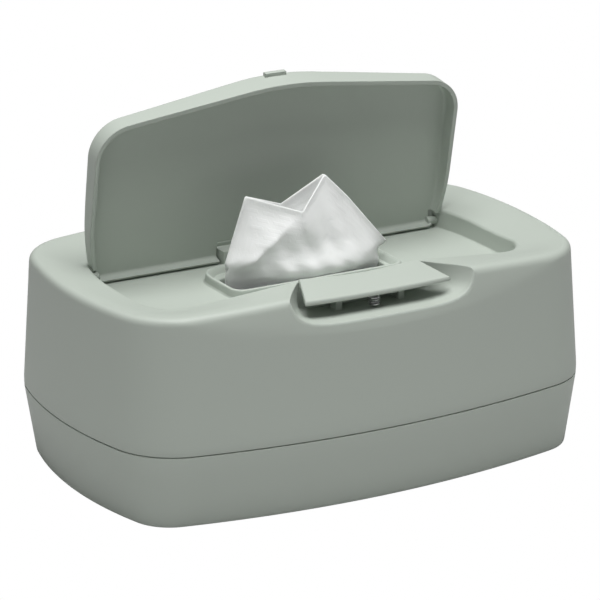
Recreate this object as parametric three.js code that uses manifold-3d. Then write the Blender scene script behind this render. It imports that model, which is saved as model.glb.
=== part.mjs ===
// Wipes box: a moulded tray, a cover with a sunken deck, a sprung lid and a press latch.
// Units are millimetres. +Z is up, the latch side faces -Y, and the origin is on the table
// under the middle of the box. The lid is shown open against its stop.
import * as THREE from "three";
import { mergeVertices } from "three/addons/utils/BufferGeometryUtils.js";
import Module from "manifold-3d";

const wasm = await Module();
wasm.setup();

// Plan outline of the box at the joint between tray and cover.
const HALF_LENGTH = 120;
const HALF_DEPTH = 78.7;
const FRONT_RADIUS = 422;
const END_RADIUS = 192;
const CORNER_RADIUS = 32;

// Heights.
const FOOT_HEIGHT = 1.7;
const TRAY_BOTTOM = 0.5;
const PARTING = 33.9;
const PARTING_GAP = 0.4;
const DECK = 81;
const CREST = DECK + 12.5;
const HUMP = 4.5;
const REAR_RISE = 0.8;
const CREASE = DECK - 1.5;
const BELOW_DECK = DECK - 11;
const ABOVE_ALL = DECK + 39;

// Wall thicknesses and clearances.
const WALL = 2.4;
const TRAY_WALL = 2.4;
const LID_WALL = 1.9;
const REST_GAP = 0.3;
const LID_GAP = 1.2;

// Taper of the walls and depth of the dished rim.
const TRAY_TAPER = 5.7;
const COVER_TAPER = 3.3;
const RIM_DISH = 4.5;
const RIM_WIDTH = 25;

// Lid: outline in the closed position, hinge axis and opening angle.
const LID_HALF_WIDTH = 91.6;
const LID_REAR_NARROWING = 3.25;
const LID_NARROWING_LENGTH = 25;
const LID_CORNER_Y = -39.6;
const LID_LEG_SLOPE = 0.13;
const LID_APEX_RADIUS = 148;
const LID_CORNER_RADIUS = 17;
const LID_REAR_RADIUS = 5.5;
const RECESS_REAR_RADIUS = 2.2;
const LID_ROLL_HALF = 85.4;
const HINGE_Y = 32.1;
const HINGE_Z = DECK + 3.5;
const HINGE_ROLL = 3.2;
const LID_OPEN_DEG = 78.8;
const LID_RIM_Z = HINGE_Z - HINGE_ROLL;
const STUB_RADIUS = 1.8;
const STUB_END = 91.5;
const STUB_CLEARANCE = 0.1;

// Hinge block in the middle of the deck's rear edge.
const BLOCK_HALF = 24;
const BLOCK_FRONT = 27.9;
const BLOCK_REAR = 37.5;
const BLOCK_TOP = DECK + 6.4;
const SPRING_BORE = 2.7;
const PIN_RADIUS = 1.0;
const PIN_CLEARANCE = 0.05;

// Dispensing slot with its raised collar.
const COLLAR_CENTRE_Y = 0.5;
const COLLAR_HALF_X = 43.2;
const COLLAR_HALF_Y = 19.2;
const COLLAR_WALL = 1.7;
const COLLAR_DRAFT = 1.6;
const COLLAR_TOP = DECK + 4;
const COLLAR_REAR_RADIUS = 14;
const COLLAR_FRONT_RADIUS = 6.5;
const LEDGE_Z = DECK + 1;
const SLOT_CENTRE_Y = -0.6;
const SLOT_HALF_X = 38;
const SLOT_HALF_Y = 10.3;
const SLOT_RADIUS = 5;

// Latch pocket and paddle.
const POCKET_HALF_REAR = 30.5;
const POCKET_HALF_FRONT = 46;
const POCKET_FRONT_Y = -70;
const POCKET_FLOOR = DECK + 3.2;
const DIVIDER = 2.0;
const PADDLE_HALF_REAR = 29.3;
const PADDLE_HALF_FRONT = 36;
const PADDLE_FRONT_Y = -67.6;
const PADDLE_REAR_Z = DECK + 15.8;
const PADDLE_SLOPE = 0.25;
const PADDLE_THICKNESS = 2.4;
const PADDLE_OVER_DIVIDER = 0.9;
const AXLE_Y = -57.2;
const AXLE_Z = DECK + 8.3;
const AXLE_RADIUS = 1.3;
const AXLE_CLEARANCE = 0.1;
const LUG = { inner: 14, outer: 17, halfY: 2.6, above: 2.4 };
const EAR = { inner: 10.5, outer: 13.4, halfY: 2.2, below: 2.1 };

// Catch tab on the lid's front edge and the notches it passes.
const TAB = { half: 5.2, reach: 1.3, low: DECK + 10.4, high: DECK + 12.6 };
const TAB_CLEARANCE = 0.3;
const LATCH_NOTCH_HALF = TAB.half + 1;
const DIVIDER_TOP = CREST;

// Stack of wipes inside the tray.
const STACK = { x: 184, y: 104, top: 60, radius: 6 };

const shellMaterial = () =>
  new THREE.MeshStandardMaterial({ color: 0x98a196, roughness: 0.55, metalness: 0 });
const rubberMaterial = () =>
  new THREE.MeshStandardMaterial({ color: 0x6f756f, roughness: 0.85, metalness: 0 });
const steelMaterial = () =>
  new THREE.MeshStandardMaterial({ color: 0xb8babd, roughness: 0.3, metalness: 1 });
const wipeMaterial = () =>
  new THREE.MeshStandardMaterial({ color: 0xf1f3f2, roughness: 0.9, metalness: 0 });

// Helpers for outlines and solids.

const clamp = (v, low, high) => Math.min(high, Math.max(low, v));
const smooth = (v) => {
  const t = clamp(v, 0, 1);
  return t * t * (3 - 2 * t);
};

function arcPoints(centre, radius, from, to, count) {
  const points = [];
  for (let i = 0; i < count; i += 1) {
    const a = from + ((to - from) * i) / count;
    points.push([centre[0] + radius * Math.cos(a), centre[1] + radius * Math.sin(a)]);
  }
  return points;
}

// Box outline, counter-clockwise, moved inwards by inset.
function boxOutline(inset, corner = CORNER_RADIUS) {
  const a = HALF_LENGTH - inset;
  const b = HALF_DEPTH - inset;
  const front = FRONT_RADIUS - inset;
  const end = END_RADIUS - inset;
  const frontCentre = [0, front - b];
  const endCentre = [a - end, 0];
  // The corner arc touches the front and the end arc from inside.
  const r1 = front - corner;
  const r2 = end - corner;
  const dx = endCentre[0] - frontCentre[0];
  const dy = endCentre[1] - frontCentre[1];
  const gap = Math.hypot(dx, dy);
  const along = (r1 * r1 - r2 * r2 + gap * gap) / (2 * gap);
  const across = Math.sqrt(r1 * r1 - along * along);
  const cx = frontCentre[0] + (dx * along) / gap - (dy * across) / gap;
  const cy = frontCentre[1] + (dy * along) / gap + (dx * across) / gap;
  const c = [Math.abs(cx), -Math.abs(cy)];
  const aFront = Math.atan2(c[1] - frontCentre[1], c[0] - frontCentre[0]);
  const aEnd = Math.atan2(c[1] - endCentre[1], c[0] - endCentre[0]);
  const quarter = [
    ...arcPoints(frontCentre, front, -Math.PI / 2, aFront, 9),
    ...arcPoints(c, corner, aFront, aEnd, 6),
    ...arcPoints(endCentre, end, aEnd, 0, 4),
  ];
  const right = [...quarter, [a, 0]];
  const upper = quarter.slice(1).reverse().map(([x, y]) => [x, -y]);
  const half = [...right, ...upper, [0, b]];
  const left = half.slice(1, -1).reverse().map(([x, y]) => [-x, y]);
  return [...half, ...left];
}

function offsetLoop(loop, distance) {
  const n = loop.length;
  return loop.map((p, i) => {
    const before = loop[(i + n - 1) % n];
    const after = loop[(i + 1) % n];
    const e1 = new THREE.Vector2(p[0] - before[0], p[1] - before[1]).normalize();
    const e2 = new THREE.Vector2(after[0] - p[0], after[1] - p[1]).normalize();
    const n1 = new THREE.Vector2(e1.y, -e1.x);
    const n2 = new THREE.Vector2(e2.y, -e2.x);
    const mid = n1.add(n2).normalize();
    const stretch = distance / Math.max(0.5, mid.dot(n2));
    return [p[0] + mid.x * stretch, p[1] + mid.y * stretch];
  });
}

const scaleLoop = (loop, centre, s) =>
  loop.map(([x, y]) => [centre[0] + (x - centre[0]) * s, centre[1] + (y - centre[1]) * s]);

function roundedRect(cx, cy, hx, hy, r, steps = 5, front = r) {
  const q = Math.PI / 2;
  const corner = (x, y, c, k) => {
    const points = arcPoints([x, y], c, k * q, (k + 1) * q, steps);
    return [...points, [x + c * Math.cos((k + 1) * q), y + c * Math.sin((k + 1) * q)]];
  };
  return [
    ...corner(cx + hx - r, cy + hy - r, r, 0),
    ...corner(cx - hx + r, cy + hy - r, r, 1),
    ...corner(cx - hx + front, cy - hy + front, front, 2),
    ...corner(cx + hx - front, cy - hy + front, front, 3),
  ];
}

const ringAt = (loop, height) =>
  loop.map(([x, y]) => [x, y, typeof height === "function" ? height(x, y) : height]);

// A closed surface through rings that run upwards, each with the same number of points.
function loft(rings) {
  const n = rings[0].length;
  const positions = rings.flat().flat();
  const index = [];
  for (let k = 0; k + 1 < rings.length; k += 1) {
    for (let j = 0; j < n; j += 1) {
      const a = k * n + j;
      const b = k * n + ((j + 1) % n);
      index.push(a, b, b + n, a, b + n, a + n);
    }
  }
  const middle = (ring) => [0, 1, 2].map((c) => ring.reduce((s, p) => s + p[c], 0) / n);
  const low = positions.length / 3;
  positions.push(...middle(rings[0]));
  const high = low + 1;
  positions.push(...middle(rings[rings.length - 1]));
  const top = (rings.length - 1) * n;
  for (let j = 0; j < n; j += 1) {
    const k = (j + 1) % n;
    index.push(low, k, j);
    index.push(high, top + j, top + k);
  }
  const geometry = new THREE.BufferGeometry();
  geometry.setAttribute("position", new THREE.Float32BufferAttribute(positions, 3));
  geometry.setIndex(index);
  return geometry;
}

const prism = (loop, low, high) => loft([ringAt(loop, low), ringAt(loop, high)]);

function solid(geometry) {
  const bare = geometry.clone();
  bare.deleteAttribute("normal");
  bare.deleteAttribute("uv");
  const merged = mergeVertices(bare, 1e-5);
  return new wasm.Manifold(
    new wasm.Mesh({
      numProp: 3,
      vertProperties: new Float32Array(merged.attributes.position.array),
      triVerts: new Uint32Array(merged.index.array),
    }),
  );
}

function boxSolid(x0, x1, y0, y1, z0, z1) {
  const geometry = new THREE.BoxGeometry(x1 - x0, y1 - y0, z1 - z0);
  geometry.translate((x0 + x1) / 2, (y0 + y1) / 2, (z0 + z1) / 2);
  return solid(geometry);
}

function rodX(radius, x0, x1, y, z, segments = 20) {
  const geometry = new THREE.CylinderGeometry(radius, radius, x1 - x0, segments);
  geometry.rotateZ(Math.PI / 2);
  geometry.translate((x0 + x1) / 2, y, z);
  return solid(geometry);
}

const mirroredRod = (side, radius, from, to, y, z) =>
  side > 0 ? rodX(radius, from, to, y, z) : rodX(radius, -to, -from, y, z);

function toMesh(name, shape, material) {
  const data = shape.getMesh();
  const geometry = new THREE.BufferGeometry();
  geometry.setAttribute("position", new THREE.BufferAttribute(new Float32Array(data.vertProperties), 3));
  geometry.setIndex(new THREE.BufferAttribute(new Uint32Array(data.triVerts), 1));
  geometry.computeVertexNormals();
  const mesh = new THREE.Mesh(geometry, material);
  mesh.name = name;
  return mesh;
}

// Shape of the top.

const frontness = (y) => smooth((-30 - y) / 30);
const humpAt = (x) => (HUMP * (Math.cos((Math.PI * Math.min(Math.abs(x), 115)) / 115) + 1)) / 2;
const crestAt = (x, y) => CREST + humpAt(x) * frontness(y) + REAR_RISE * smooth((y + 20) / 60);
const centreness = (x) => (Math.cos((Math.PI * Math.min(Math.abs(x), 108)) / 108) + 1) / 2;
const rimTop = (x, y, inward) =>
  crestAt(x, y) - RIM_DISH * (1 - centreness(x) * frontness(y)) * smooth(inward / RIM_WIDTH);

// Height of the closed lid's outer face.
function lidTop(x, y) {
  const u = clamp((HINGE_Y - y) / 82, 0, 1);
  return DECK + 6.5 + 2.0 * smooth(u * 2) + (1.8 + 3.6 * centreness(x)) * u * u;
}

// Tray, feet and stack.

const trayInset = (z) => TRAY_TAPER * (1 - clamp((z - TRAY_BOTTOM) / (PARTING - TRAY_BOTTOM), 0, 1));
const trayCorner = (z) => 19 + (CORNER_RADIUS - 19) * clamp(z / PARTING, 0, 1);

const FOOT_X = HALF_LENGTH - 42;
const FOOT_Y = HALF_DEPTH - 36.7;
const FEET = {
  foot_front_left: [-FOOT_X, -FOOT_Y],
  foot_front_right: [FOOT_X, -FOOT_Y],
  foot_rear_left: [-FOOT_X, FOOT_Y],
  foot_rear_right: [FOOT_X, FOOT_Y],
};
const FOOT_RADIUS = 7;

function disc(x, y, radius, z0, z1, segments = 24) {
  const geometry = new THREE.CylinderGeometry(radius, radius, z1 - z0, segments);
  geometry.rotateX(Math.PI / 2);
  geometry.translate(x, y, (z0 + z1) / 2);
  return solid(geometry);
}

function makeTray() {
  const ring = (z, extra) => ringAt(boxOutline(trayInset(z) + extra, trayCorner(z)), z);
  const outer = solid(
    loft([
      ring(TRAY_BOTTOM, 1.6),
      ring(TRAY_BOTTOM + 0.45, 0.5),
      ring(TRAY_BOTTOM + 1.5, 0.05),
      ring(17, 0),
      ring(PARTING, 0),
    ]),
  );
  const lipOuter = WALL + 0.4;
  const lipInner = lipOuter + 1.6;
  const lip = solid(prism(boxOutline(lipOuter, CORNER_RADIUS - lipOuter), PARTING - 4, PARTING + 5));
  const floor = TRAY_BOTTOM + TRAY_WALL;
  const cavity = solid(
    loft([
      ringAt(boxOutline(trayInset(floor) + TRAY_WALL + 2.5, 18), floor),
      ringAt(boxOutline(trayInset(floor + 3) + TRAY_WALL + 0.3, 19), floor + 3),
      ringAt(boxOutline(trayInset(27) + TRAY_WALL, 27), 27),
      ringAt(boxOutline(lipInner, CORNER_RADIUS - lipInner), PARTING - 2.5),
      ringAt(boxOutline(lipInner, CORNER_RADIUS - lipInner), PARTING + 6),
    ]),
  );
  let tray = outer.add(lip).subtract(cavity);
  for (const [x, y] of Object.values(FEET)) {
    const top = FOOT_HEIGHT + REST_GAP;
    tray = tray.subtract(disc(x, y, FOOT_RADIUS + REST_GAP, -1, top));
  }
  return toMesh("base_tray", tray, shellMaterial());
}

function makeFoot(name, [x, y]) {
  return toMesh(name, disc(x, y, FOOT_RADIUS, 0, FOOT_HEIGHT), rubberMaterial());
}

function makeStack() {
  const low = TRAY_BOTTOM + TRAY_WALL + REST_GAP;
  const loop = roundedRect(0, 0, STACK.x / 2, STACK.y / 2, STACK.radius, 3);
  const inner = offsetLoop(loop, -1.5);
  const shape = loft([
    ringAt(inner, low),
    ringAt(loop, low + 1.5),
    ringAt(loop, STACK.top - 2),
    ringAt(inner, STACK.top),
  ]);
  return toMesh("wipes_stack", solid(shape), wipeMaterial());
}

// Lid outline, also used for the recess.

function lidOutline(grow = 0, fillet = LID_REAR_RADIUS) {
  const w = LID_HALF_WIDTH;
  const legY = (x) => LID_CORNER_Y - LID_LEG_SLOPE * (w - x);
  const slopeAngle = Math.atan(LID_LEG_SLOPE);
  // Apex arc, tangent to both legs.
  const apexHalf = LID_APEX_RADIUS * Math.sin(slopeAngle);
  const apexTip = legY(0) + LID_APEX_RADIUS * (1 / Math.cos(slopeAngle) - 1);
  const right = [];
  for (let i = 0; i < 5; i += 1) {
    const x = (apexHalf * i) / 5;
    right.push([x, apexTip + LID_APEX_RADIUS - Math.sqrt(LID_APEX_RADIUS ** 2 - x * x)]);
  }
  // Front corner between the leg and the side.
  const turn = Math.PI / 2 - slopeAngle;
  const reach = LID_CORNER_RADIUS * Math.tan(turn / 2);
  const start = [w - reach * Math.cos(slopeAngle), 0];
  start[1] = legY(start[0]);
  const centre = [w - LID_CORNER_RADIUS, LID_CORNER_Y + reach];
  for (let i = 0; i < 4; i += 1) {
    const x = apexHalf + ((start[0] - apexHalf) * i) / 4;
    right.push([x, legY(x)]);
  }
  right.push(...arcPoints(centre, LID_CORNER_RADIUS, -turn, 0, 7));
  const side = (y) => {
    const t = clamp((LID_NARROWING_LENGTH - (29.5 - y)) / LID_NARROWING_LENGTH, 0, 2);
    return w - LID_REAR_NARROWING * t * t;
  };
  const rear = HINGE_Y + HINGE_ROLL;
  for (let i = 0; i < 8; i += 1) {
    const y = centre[1] + ((rear - fillet - centre[1]) * i) / 8;
    right.push([side(y), y]);
  }
  const end = side(rear - fillet);
  right.push(...arcPoints([end - fillet, rear - fillet], fillet, 0, Math.PI / 2, 3));
  right.push([end - fillet, rear]);
  const left = right.slice(1).reverse().map(([x, y]) => [-x, y]);
  const loop = [...right, [0, rear], ...left];
  return grow === 0 ? loop : offsetLoop(loop, grow);
}

// Front edge of the closed lid near the middle: two legs joined by an arc.
const lidFrontY = (x) => {
  const tilt = Math.atan(LID_LEG_SLOPE);
  const arcHalf = LID_APEX_RADIUS * Math.sin(tilt);
  const far = Math.abs(x);
  const leg = (q) => LID_CORNER_Y - LID_LEG_SLOPE * (LID_HALF_WIDTH - q);
  const centre = leg(0) + LID_APEX_RADIUS / Math.cos(tilt);
  return far > arcHalf ? leg(far) : centre - Math.sqrt(LID_APEX_RADIUS ** 2 - far * far);
};
const dividerFront = (x) => lidFrontY(x) - LID_GAP - DIVIDER;
const paddleRear = (x) => dividerFront(x) + DIVIDER - PADDLE_OVER_DIVIDER + 0.8;

// Cover.

// The front wall leans back a little more above a curved crease.
const facetInset = (x, y, z) =>
  y < 0 ? clamp((z - CREASE) * 0.17 - x * x * 0.00024, 0, 6) * smooth((-y - 20) / 30) : 0;

const coverInset = (z) => COVER_TAPER * clamp((z - PARTING - 4) / (CREST - PARTING - 4), 0, 1.2);

function coverRing(level, extra) {
  // level is a height below the crest where negative, else an absolute height.
  const nominal = level <= 0 ? CREST + level : level;
  return boxOutline(coverInset(nominal) + extra, CORNER_RADIUS - Math.min(extra, 24)).map(([x, y]) => {
    const z = level <= 0 ? crestAt(x, y) + level : level;
    return [x, y + facetInset(x, y, z), z];
  });
}

function coverSolid(skin) {
  // skin 0 is the outside; a positive skin gives the hollow inside the wall.
  const bottom = PARTING + PARTING_GAP - (skin ? 2 : 0);
  const rings = [
    coverRing(bottom, skin),
    coverRing(PARTING + 4, skin),
    coverRing((PARTING + DECK) / 2 + 2.5, skin),
    coverRing(CREASE, skin),
    coverRing(-8, skin),
    coverRing(-2.8 - skin, skin),
    ...(skin ? [] : [coverRing(-1.2, 0.4)]),
    coverRing(-0.3 - skin, skin + 1.3),
    coverRing(-0.001 - skin, skin + 2.6),
  ];
  for (const inward of skin ? [9, 27] : [9, 15, 21, 27]) {
    const loop = boxOutline(COVER_TAPER + skin + inward, Math.max(CORNER_RADIUS - inward - skin, 4));
    rings.push(ringAt(loop, (x, y) => rimTop(x, y, inward - 3) - skin));
  }
  return solid(loft(rings));
}

function pocketOutline(grow = 0) {
  const half = [];
  for (let i = 0; i <= 5; i += 1) {
    const x = (POCKET_HALF_REAR * i) / 5;
    half.push([x, dividerFront(x) + grow]);
  }
  half[5][0] += grow * 0.7;
  half.push([POCKET_HALF_FRONT + grow, POCKET_FRONT_Y + grow * 0.4]);
  half.push([POCKET_HALF_FRONT + grow, POCKET_FRONT_Y - 20]);
  const left = half.slice(1).reverse().map(([x, y]) => [-x, y]);
  return [...left, ...half].reverse();
}

// Profile of the pocket seen from the front, extruded along Y.
function pocketProfile(drop) {
  const shape = new THREE.Shape();
  const right = [
    [0, POCKET_FLOOR],
    [25, POCKET_FLOOR + 0.6],
    [36, POCKET_FLOOR + 1.6],
    [40.5, POCKET_FLOOR + 3.4],
    [43.2, POCKET_FLOOR + 6.2],
    [45.2, POCKET_FLOOR + 11],
    [46.5, POCKET_FLOOR + 22],
  ].map(([x, z]) => [x + (x > 0 ? drop : 0), z - drop]);
  const loop = [...right.slice(1).reverse().map(([x, z]) => [-x, z]), ...right];
  loop.forEach(([x, z], i) => (i === 0 ? shape.moveTo(x, z) : shape.lineTo(x, z)));
  const geometry = new THREE.ExtrudeGeometry(shape, { depth: 60, bevelEnabled: false });
  // The shape's plane becomes XZ and the extrusion runs towards -Y.
  geometry.rotateX(Math.PI / 2);
  geometry.translate(0, -40, 0);
  return solid(geometry);
}

function makeCover() {
  const outer = coverSolid(0);
  const hollow = coverSolid(WALL);
  const tub = solid(prism(lidOutline(LID_GAP + WALL, RECESS_REAR_RADIUS), DECK - WALL, ABOVE_ALL));
  const recess = solid(prism(lidOutline(LID_GAP, RECESS_REAR_RADIUS), DECK, ABOVE_ALL));
  const pocketTub = solid(prism(pocketOutline(WALL), BELOW_DECK, ABOVE_ALL)).intersect(pocketProfile(WALL));
  const pocket = solid(prism(pocketOutline(), BELOW_DECK, ABOVE_ALL)).intersect(pocketProfile(0));
  let cover = outer.subtract(hollow.subtract(tub).subtract(pocketTub));
  cover = cover.subtract(recess).subtract(pocket);
  // Collar, sunken ledge and slot.
  const collarOuter = roundedRect(
    0,
    COLLAR_CENTRE_Y,
    COLLAR_HALF_X,
    COLLAR_HALF_Y,
    COLLAR_REAR_RADIUS,
    5,
    COLLAR_FRONT_RADIUS,
  );
  cover = cover.add(
    solid(
      loft([
        ringAt(offsetLoop(collarOuter, 0.3), DECK - 1),
        ringAt(collarOuter, COLLAR_TOP - 0.5),
        ringAt(offsetLoop(collarOuter, -0.4), COLLAR_TOP),
      ]),
    ),
  );
  cover = cover.subtract(
    solid(
      loft([
        ringAt(offsetLoop(collarOuter, -COLLAR_WALL - COLLAR_DRAFT), LEDGE_Z),
        ringAt(offsetLoop(collarOuter, -COLLAR_WALL), COLLAR_TOP),
        ringAt(offsetLoop(collarOuter, -COLLAR_WALL), COLLAR_TOP + 9),
      ]),
    ),
  );
  const slot = roundedRect(0, SLOT_CENTRE_Y, SLOT_HALF_X, SLOT_HALF_Y, SLOT_RADIUS, 3);
  cover = cover.subtract(solid(prism(slot, BELOW_DECK, COLLAR_TOP + 9)));
  // Hinge block with its bore, open towards the front for the spring's leg.
  const block = boxSolid(-BLOCK_HALF, BLOCK_HALF, BLOCK_FRONT, BLOCK_REAR, DECK - 1, BLOCK_TOP);
  cover = cover.add(block);
  cover = cover.subtract(rodX(SPRING_BORE, -18, 18, HINGE_Y, HINGE_Z));
  cover = cover.subtract(rodX(PIN_RADIUS + PIN_CLEARANCE, -22, 22, HINGE_Y, HINGE_Z, 12));
  cover = cover.subtract(boxSolid(-17, 17, BLOCK_FRONT - 1, HINGE_Y - 1.5, HINGE_Z - 0.8, HINGE_Z + 0.8));
  // Holes for the lid's stubs and the paddle's axle.
  const hinge = STUB_RADIUS + STUB_CLEARANCE;
  const axle = AXLE_RADIUS + AXLE_CLEARANCE;
  for (const s of [-1, 1]) {
    cover = cover.subtract(mirroredRod(s, hinge, STUB_END - 7.5, STUB_END + 5.5, HINGE_Y, HINGE_Z));
    // Lug on the pocket's floor, under the paddle.
    const [x0, x1] = s > 0 ? [LUG.inner, LUG.outer] : [-LUG.outer, -LUG.inner];
    const y0 = AXLE_Y - LUG.halfY;
    const y1 = AXLE_Y + LUG.halfY;
    cover = cover.add(boxSolid(x0, x1, y0, y1, POCKET_FLOOR - 1, AXLE_Z + LUG.above));
    cover = cover.subtract(mirroredRod(s, axle, LUG.inner - 1, LUG.outer + 1, AXLE_Y, AXLE_Z));
  }
  // The divider is low under the paddle and has a notch for the lid's catch tab.
  const low = boxSolid(-PADDLE_HALF_REAR - 0.7, PADDLE_HALF_REAR + 0.7, -56, -44, DIVIDER_TOP, ABOVE_ALL);
  cover = cover.subtract(low);
  const notch = LATCH_NOTCH_HALF;
  cover = cover.subtract(boxSolid(-notch, notch, -56, -49, TAB.low - 0.7, ABOVE_ALL));
  return toMesh("cover_shell", cover, shellMaterial());
}

// Lid, built closed and then swung open.

const swingOpen = (mesh) => {
  const turn = new THREE.Matrix4().makeRotationX((-LID_OPEN_DEG * Math.PI) / 180);
  const there = new THREE.Matrix4().makeTranslation(0, HINGE_Y, HINGE_Z);
  const back = new THREE.Matrix4().makeTranslation(0, -HINGE_Y, -HINGE_Z);
  mesh.geometry.applyMatrix4(there.multiply(turn).multiply(back));
  return mesh;
};

function lidBody(skin) {
  const outline = lidOutline();
  const centre = [0, -8];
  const draft = (inward) => offsetLoop(outline, -(inward + skin));
  const top = (x, y) => lidTop(x, y) - skin;
  const rings = [
    ringAt(draft(0), LID_RIM_Z - (skin ? 1.5 : 0)),
    ringAt(draft(0.3), (x, y) => top(x, y) - 1.3),
    ringAt(draft(0.6), (x, y) => top(x, y) - 0.5),
    ringAt(draft(1.4), top),
  ];
  const last = draft(1.4);
  for (const s of [0.86, 0.66, 0.42, 0.18]) {
    rings.push(ringAt(scaleLoop(last, centre, s), top));
  }
  return solid(loft(rings));
}

function makeLid() {
  let lid = lidBody(0).subtract(lidBody(LID_WALL));
  // The rear edge is a roll about the hinge axis, shorter than the lid so that it turns freely.
  const half = LID_ROLL_HALF;
  const keep = boxSolid(-HALF_LENGTH, HALF_LENGTH, -HALF_DEPTH, HINGE_Y - 5, BELOW_DECK, ABOVE_ALL)
    .add(boxSolid(-half, half, -HALF_DEPTH, HINGE_Y, BELOW_DECK, ABOVE_ALL))
    .add(rodX(HINGE_ROLL, -half, half, HINGE_Y, HINGE_Z, 40));
  lid = lid.intersect(keep);
  // Stubs that sit in the side walls of the recess.
  for (const s of [-1, 1]) {
    lid = lid.add(mirroredRod(s, STUB_RADIUS, LID_ROLL_HALF - 1, STUB_END, HINGE_Y, HINGE_Z));
  }
  // Notch round the hinge block.
  lid = lid.subtract(boxSolid(-BLOCK_HALF - 1, BLOCK_HALF + 1, HINGE_Y - 6.4, 45, BELOW_DECK, ABOVE_ALL));
  // Catch tab on the front flange.
  const tip = lidFrontY(0);
  lid = lid.add(boxSolid(-TAB.half, TAB.half, tip - TAB.reach, tip + 1.4, TAB.low, TAB.high));
  return swingOpen(toMesh("lid", lid, shellMaterial()));
}

// Hinge pin and spring.

function makeHingePin() {
  return toMesh("hinge_pin", rodX(PIN_RADIUS, -21.7, 21.7, HINGE_Y, HINGE_Z, 12), steelMaterial());
}

class Coil extends THREE.Curve {
  constructor(radius, pitch, turns, place) {
    super();
    Object.assign(this, { radius, pitch, turns, place });
  }

  getPoint(t) {
    const a = t * this.turns * Math.PI * 2;
    return this.place(this.radius * Math.cos(a), this.radius * Math.sin(a), t * this.turns * this.pitch);
  }
}

function coilMesh(name, curve, wire, steps) {
  const section = new THREE.Shape();
  section.absarc(0, 0, wire, 0, Math.PI * 2, false);
  const geometry = new THREE.ExtrudeGeometry(section, {
    steps,
    curveSegments: 3,
    bevelEnabled: false,
    extrudePath: curve,
  });
  return toMesh(name, solid(geometry), steelMaterial());
}

function makeLidSpring() {
  const length = 30;
  const turns = 10;
  const place = (a, b, c) => new THREE.Vector3(c - length / 2, HINGE_Y + a, HINGE_Z + b);
  return coilMesh("lid_spring", new Coil(1.85, length / turns, turns, place), 0.45, turns * 9);
}

// Latch.

const paddleTop = (y) => PADDLE_REAR_Z - PADDLE_SLOPE * (paddleRear(0) - y);

function makePaddle() {
  const half = [];
  for (let i = 0; i <= 5; i += 1) {
    const x = (PADDLE_HALF_REAR * i) / 5;
    half.push([x, paddleRear(x)]);
  }
  const frontY = (x) => PADDLE_FRONT_Y + (x * x) / 1300;
  for (let i = 5; i >= 0; i -= 1) {
    const x = (PADDLE_HALF_FRONT * i) / 5;
    half.push([x, frontY(x)]);
  }
  const left = half.slice(1, -1).reverse().map(([x, y]) => [-x, y]);
  const loop = [...half, ...left].reverse();
  const under = (x, y) => paddleTop(y) - PADDLE_THICKNESS;
  let paddle = solid(
    loft([
      ringAt(offsetLoop(loop, -0.7), under),
      ringAt(loop, (x, y) => under(x, y) + 0.7),
      ringAt(loop, (x, y) => paddleTop(y) - 0.6),
      ringAt(offsetLoop(loop, -0.6), (x, y) => paddleTop(y)),
    ]),
  );
  // Two ears under the plate carry the axle stubs that sit in the cover's lugs.
  for (const s of [-1, 1]) {
    const [x0, x1] = s > 0 ? [EAR.inner, EAR.outer] : [-EAR.outer, -EAR.inner];
    const top = paddleTop(AXLE_Y) - PADDLE_THICKNESS + 0.5;
    const ear = boxSolid(x0, x1, AXLE_Y - EAR.halfY, AXLE_Y + EAR.halfY, AXLE_Z - EAR.below, top);
    paddle = paddle.add(ear);
    paddle = paddle.add(mirroredRod(s, AXLE_RADIUS, EAR.outer - 1, LUG.outer, AXLE_Y, AXLE_Z));
  }
  // Room for the lid's catch tab in the middle of the rear edge.
  const tabTip = lidFrontY(0) - TAB.reach - TAB_CLEARANCE;
  const notch = LATCH_NOTCH_HALF;
  paddle = paddle.subtract(boxSolid(-notch, notch, tabTip, -40, BELOW_DECK, ABOVE_ALL));
  return toMesh("latch_button", paddle, shellMaterial());
}

function makeButtonSpring() {
  const y = -63;
  const wire = 0.4;
  const low = POCKET_FLOOR + 0.15 + REST_GAP + wire;
  const high = paddleTop(y) - PADDLE_THICKNESS - REST_GAP - wire - 1.9;
  const turns = 4;
  const place = (a, b, c) => new THREE.Vector3(a, y + b, low + c);
  return coilMesh("button_spring", new Coil(2.2, (high - low) / turns, turns, place), wire, turns * 12);
}

// Wipe.

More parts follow.
